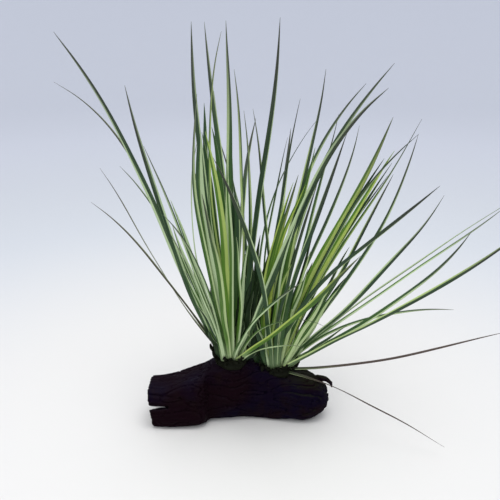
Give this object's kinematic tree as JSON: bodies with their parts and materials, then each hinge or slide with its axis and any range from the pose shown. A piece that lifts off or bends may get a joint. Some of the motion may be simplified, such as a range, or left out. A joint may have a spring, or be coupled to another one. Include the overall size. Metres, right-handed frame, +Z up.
{
  "type": "japanese rush plant on driftwood",
  "caption": "Clump of long, narrow, variegated grassy leaves fanning out from two crowns on a short dark piece of driftwood, for an aquarium.",
  "frame": {"origin": "on the flat underside of the driftwood, below the middle of its length", "axes": "+Z up, +X along the driftwood from its sawn end to its rounded end, -Y to the front"},
  "size_m": [0.3809, 0.2054, 0.3214],
  "materials": {
    "wet_dark_wood": "wet, almost black, rough bark and grain",
    "old_crown": "nearly black old leaf bases and fibres, matt",
    "variegated_leaf": "dark green blades with cream and yellow-green stripes along them, satin"
  },
  "bodies": {
    "root": {"driftwood": "wet_dark_wood", "crown_left": "old_crown", "crown_right": "old_crown", "leaf_left_01": "variegated_leaf", "leaf_left_02": "variegated_leaf", "leaf_left_03": "variegated_leaf", "leaf_left_04": "variegated_leaf", "leaf_left_05": "variegated_leaf", "leaf_left_06": "variegated_leaf", "leaf_left_07": "variegated_leaf", "leaf_left_08": "variegated_leaf", "leaf_left_09": "variegated_leaf", "leaf_left_10": "variegated_leaf", "leaf_left_11": "variegated_leaf", "leaf_left_12": "variegated_leaf", "leaf_left_13": "variegated_leaf", "leaf_left_14": "variegated_leaf", "leaf_left_15": "variegated_leaf", "leaf_left_16": "variegated_leaf", "leaf_left_17": "variegated_leaf", "leaf_left_18": "variegated_leaf", "leaf_left_19": "variegated_leaf", "leaf_left_20": "variegated_leaf", "leaf_left_21": "variegated_leaf", "leaf_left_22": "variegated_leaf", "leaf_left_23": "variegated_leaf", "leaf_left_24": "variegated_leaf", "leaf_left_25": "variegated_leaf", "leaf_left_26": "variegated_leaf", "leaf_left_27": "variegated_leaf", "leaf_left_28": "variegated_leaf", "leaf_right_01": "variegated_leaf", "leaf_right_02": "variegated_leaf", "leaf_right_03": "variegated_leaf", "leaf_right_04": "variegated_leaf", "leaf_right_05": "variegated_leaf", "leaf_right_06": "variegated_leaf", "leaf_right_07": "variegated_leaf", "leaf_right_08": "variegated_leaf", "leaf_right_09": "variegated_leaf", "leaf_right_10": "variegated_leaf", "leaf_right_11": "variegated_leaf", "leaf_right_12": "variegated_leaf", "leaf_right_13": "variegated_leaf", "leaf_right_14": "variegated_leaf", "leaf_right_15": "variegated_leaf", "leaf_right_16": "variegated_leaf", "leaf_right_17": "variegated_leaf", "leaf_right_18": "variegated_leaf", "leaf_right_19": "variegated_leaf", "leaf_right_20": "variegated_leaf", "leaf_right_21": "variegated_leaf", "leaf_right_22": "variegated_leaf", "leaf_right_23": "variegated_leaf", "leaf_right_24": "variegated_leaf", "leaf_right_25": "variegated_leaf", "leaf_right_26": "variegated_leaf", "leaf_right_27": "variegated_leaf", "leaf_right_28": "variegated_leaf", "leaf_right_29": "variegated_leaf"}
  },
  "joints": []
}
